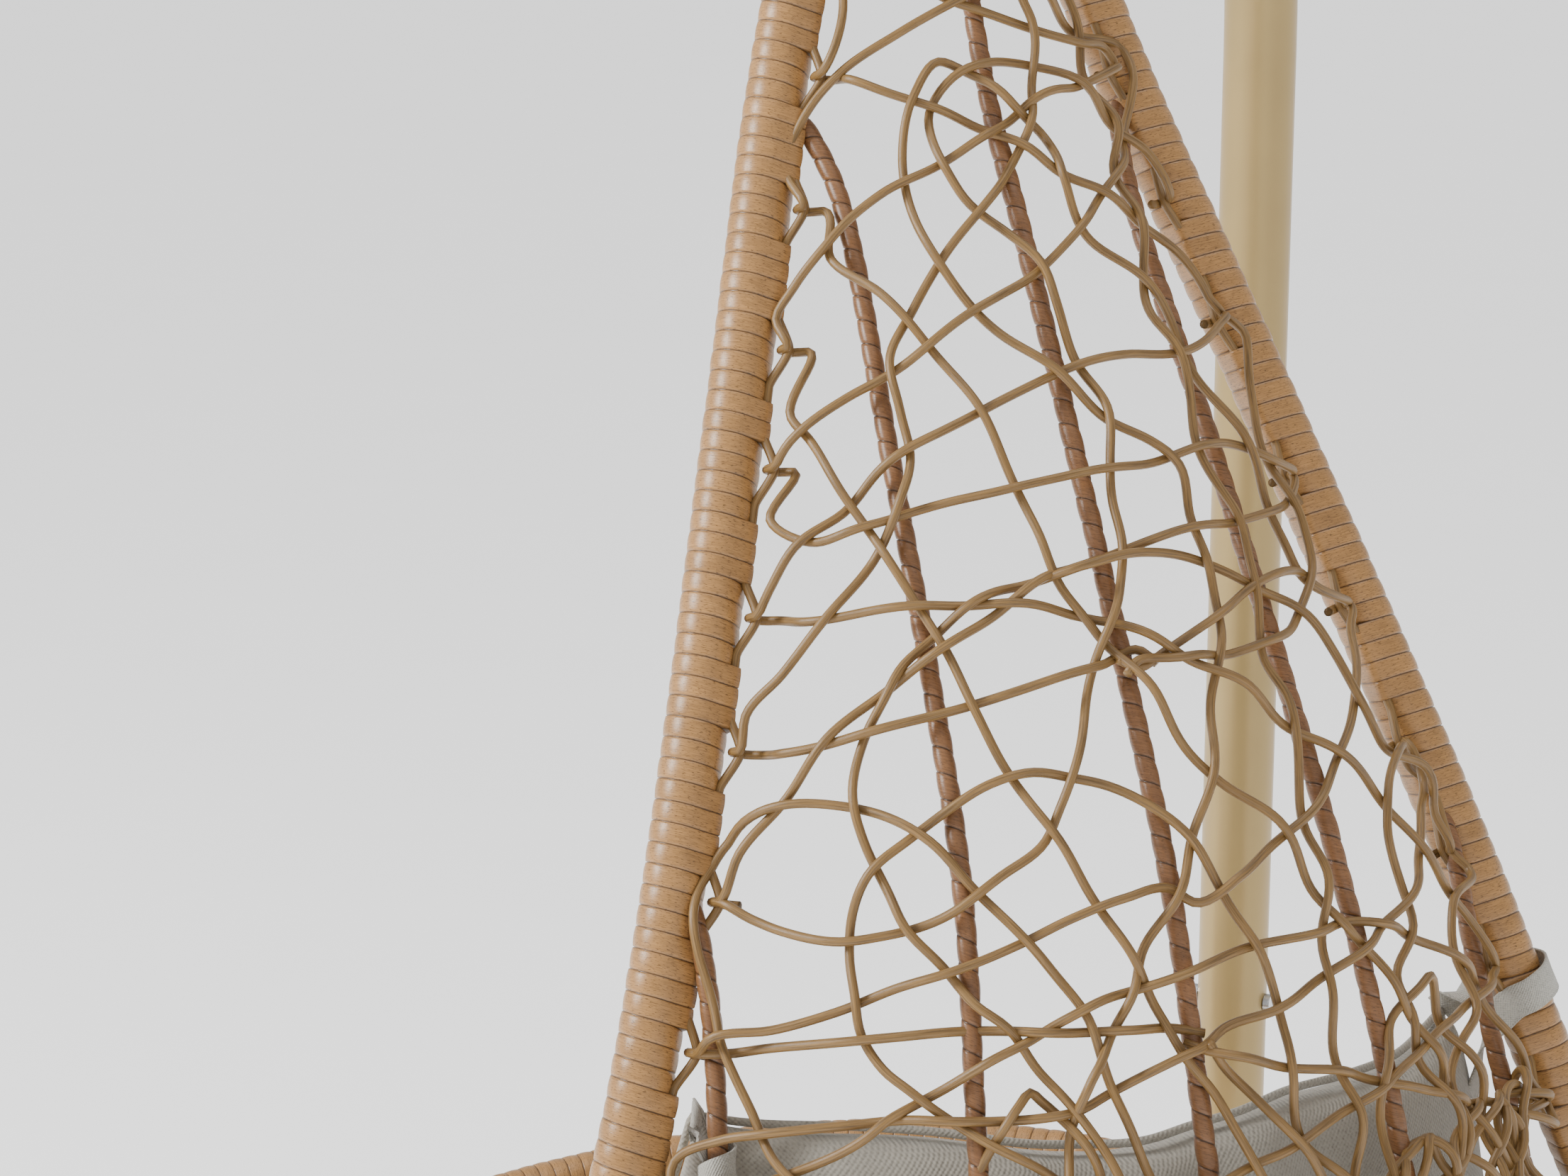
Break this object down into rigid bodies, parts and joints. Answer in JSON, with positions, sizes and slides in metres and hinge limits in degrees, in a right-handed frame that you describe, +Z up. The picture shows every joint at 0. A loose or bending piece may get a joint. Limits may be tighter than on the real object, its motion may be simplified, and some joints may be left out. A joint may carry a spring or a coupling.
{
  "type": "hanging nest chair with stand",
  "caption": "Hanging nest chair: a teardrop basket of wrapped tube and loose random weave with a cushion, swung from a curved post on a round floor ring.",
  "frame": {"origin": "on the floor, under the hanging axis, at the centre of the base ring", "axes": "+Z up, +Y from the hanging axis towards the post, +X to the right of someone who looks at the post; the basket's back faces about -45 degrees from +X at rest"},
  "size_m": [1.2018, 1.2097, 1.98],
  "materials": {
    "stand_coat": "khaki gold powder coat, satin",
    "steel": "zinc plated steel",
    "rubber": "matt black rubber",
    "hoop_tape": "honey tan flat plastic rattan tape, semi-gloss, dark flecks",
    "rib_tape": "brown flat plastic rattan tape",
    "strand": "olive tan round plastic rattan with fine dark streaks",
    "canvas": "grey beige heathered coarse canvas",
    "tie_tape": "stitched canvas tape"
  },
  "bodies": {
    "stand": {"base_ring": "stand_coat", "base_bar_left": "stand_coat", "base_bar_right": "stand_coat", "foot_pads": "rubber", "post_socket": "stand_coat", "lower_post": "stand_coat", "upper_arm": "stand_coat", "socket_bolts": "steel", "joint_bolt": "steel", "arm_end_cap": "rubber", "eye_bolt": "steel", "eye_bolt_nut": "steel"},
    "upper_link_body": {"upper_link": "steel", "upper_link_sleeve": "steel"},
    "swivel_top": {"swivel_housing": "steel", "swivel_plate": "steel"},
    "swivel_bottom": {"swivel_pin": "steel"},
    "lower_link_body": {"lower_link": "steel", "lower_link_sleeve": "steel"},
    "basket": {"hang_eye": "steel", "hoop_left": "hoop_tape", "hoop_right": "hoop_tape", "hoop_front": "hoop_tape", "centre_rib": "rib_tape", "inner_rib_left": "rib_tape", "inner_rib_right": "rib_tape", "outer_rib_left": "rib_tape", "outer_rib_right": "rib_tape", "cross_rib": "rib_tape", "weave_back_left": "strand", "weave_back_right": "strand", "weave_shoulder_left": "strand", "weave_shoulder_right": "strand", "weave_side_left": "strand", "weave_side_right": "strand", "weave_flank_left": "strand", "weave_flank_right": "strand", "back_cushion": "canvas", "seat_cushion": "canvas", "tie_left_upper": "tie_tape", "tie_right_upper": "tie_tape", "tie_left_lower": "tie_tape", "tie_right_lower": "tie_tape"}
  },
  "joints": [
    {"name": "swing_side", "type": "hinge", "parent": "stand", "child": "upper_link_body", "pos_m": [0, 0, 1.875], "axis": [0, 1, 0], "range_deg": [-12, 12]},
    {"name": "swing_fore", "type": "hinge", "parent": "upper_link_body", "child": "swivel_top", "pos_m": [0, 0, 1.806], "axis": [1, 0, 0], "range_deg": [-12, 1]},
    {"name": "basket_swivel", "type": "hinge", "parent": "swivel_top", "child": "swivel_bottom", "pos_m": [0, 0, 1.763], "axis": [0, 0, 1], "continuous": true},
    {"name": "basket_nod", "type": "hinge", "parent": "swivel_bottom", "child": "lower_link_body", "pos_m": [0, 0, 1.731], "axis": [-0.7071, -0.7071, 0], "range_deg": [-5, 8]},
    {"name": "basket_roll", "type": "hinge", "parent": "lower_link_body", "child": "basket", "pos_m": [0, 0, 1.652], "axis": [0.7071, -0.7071, 0], "range_deg": [-5, 5]}
  ]
}
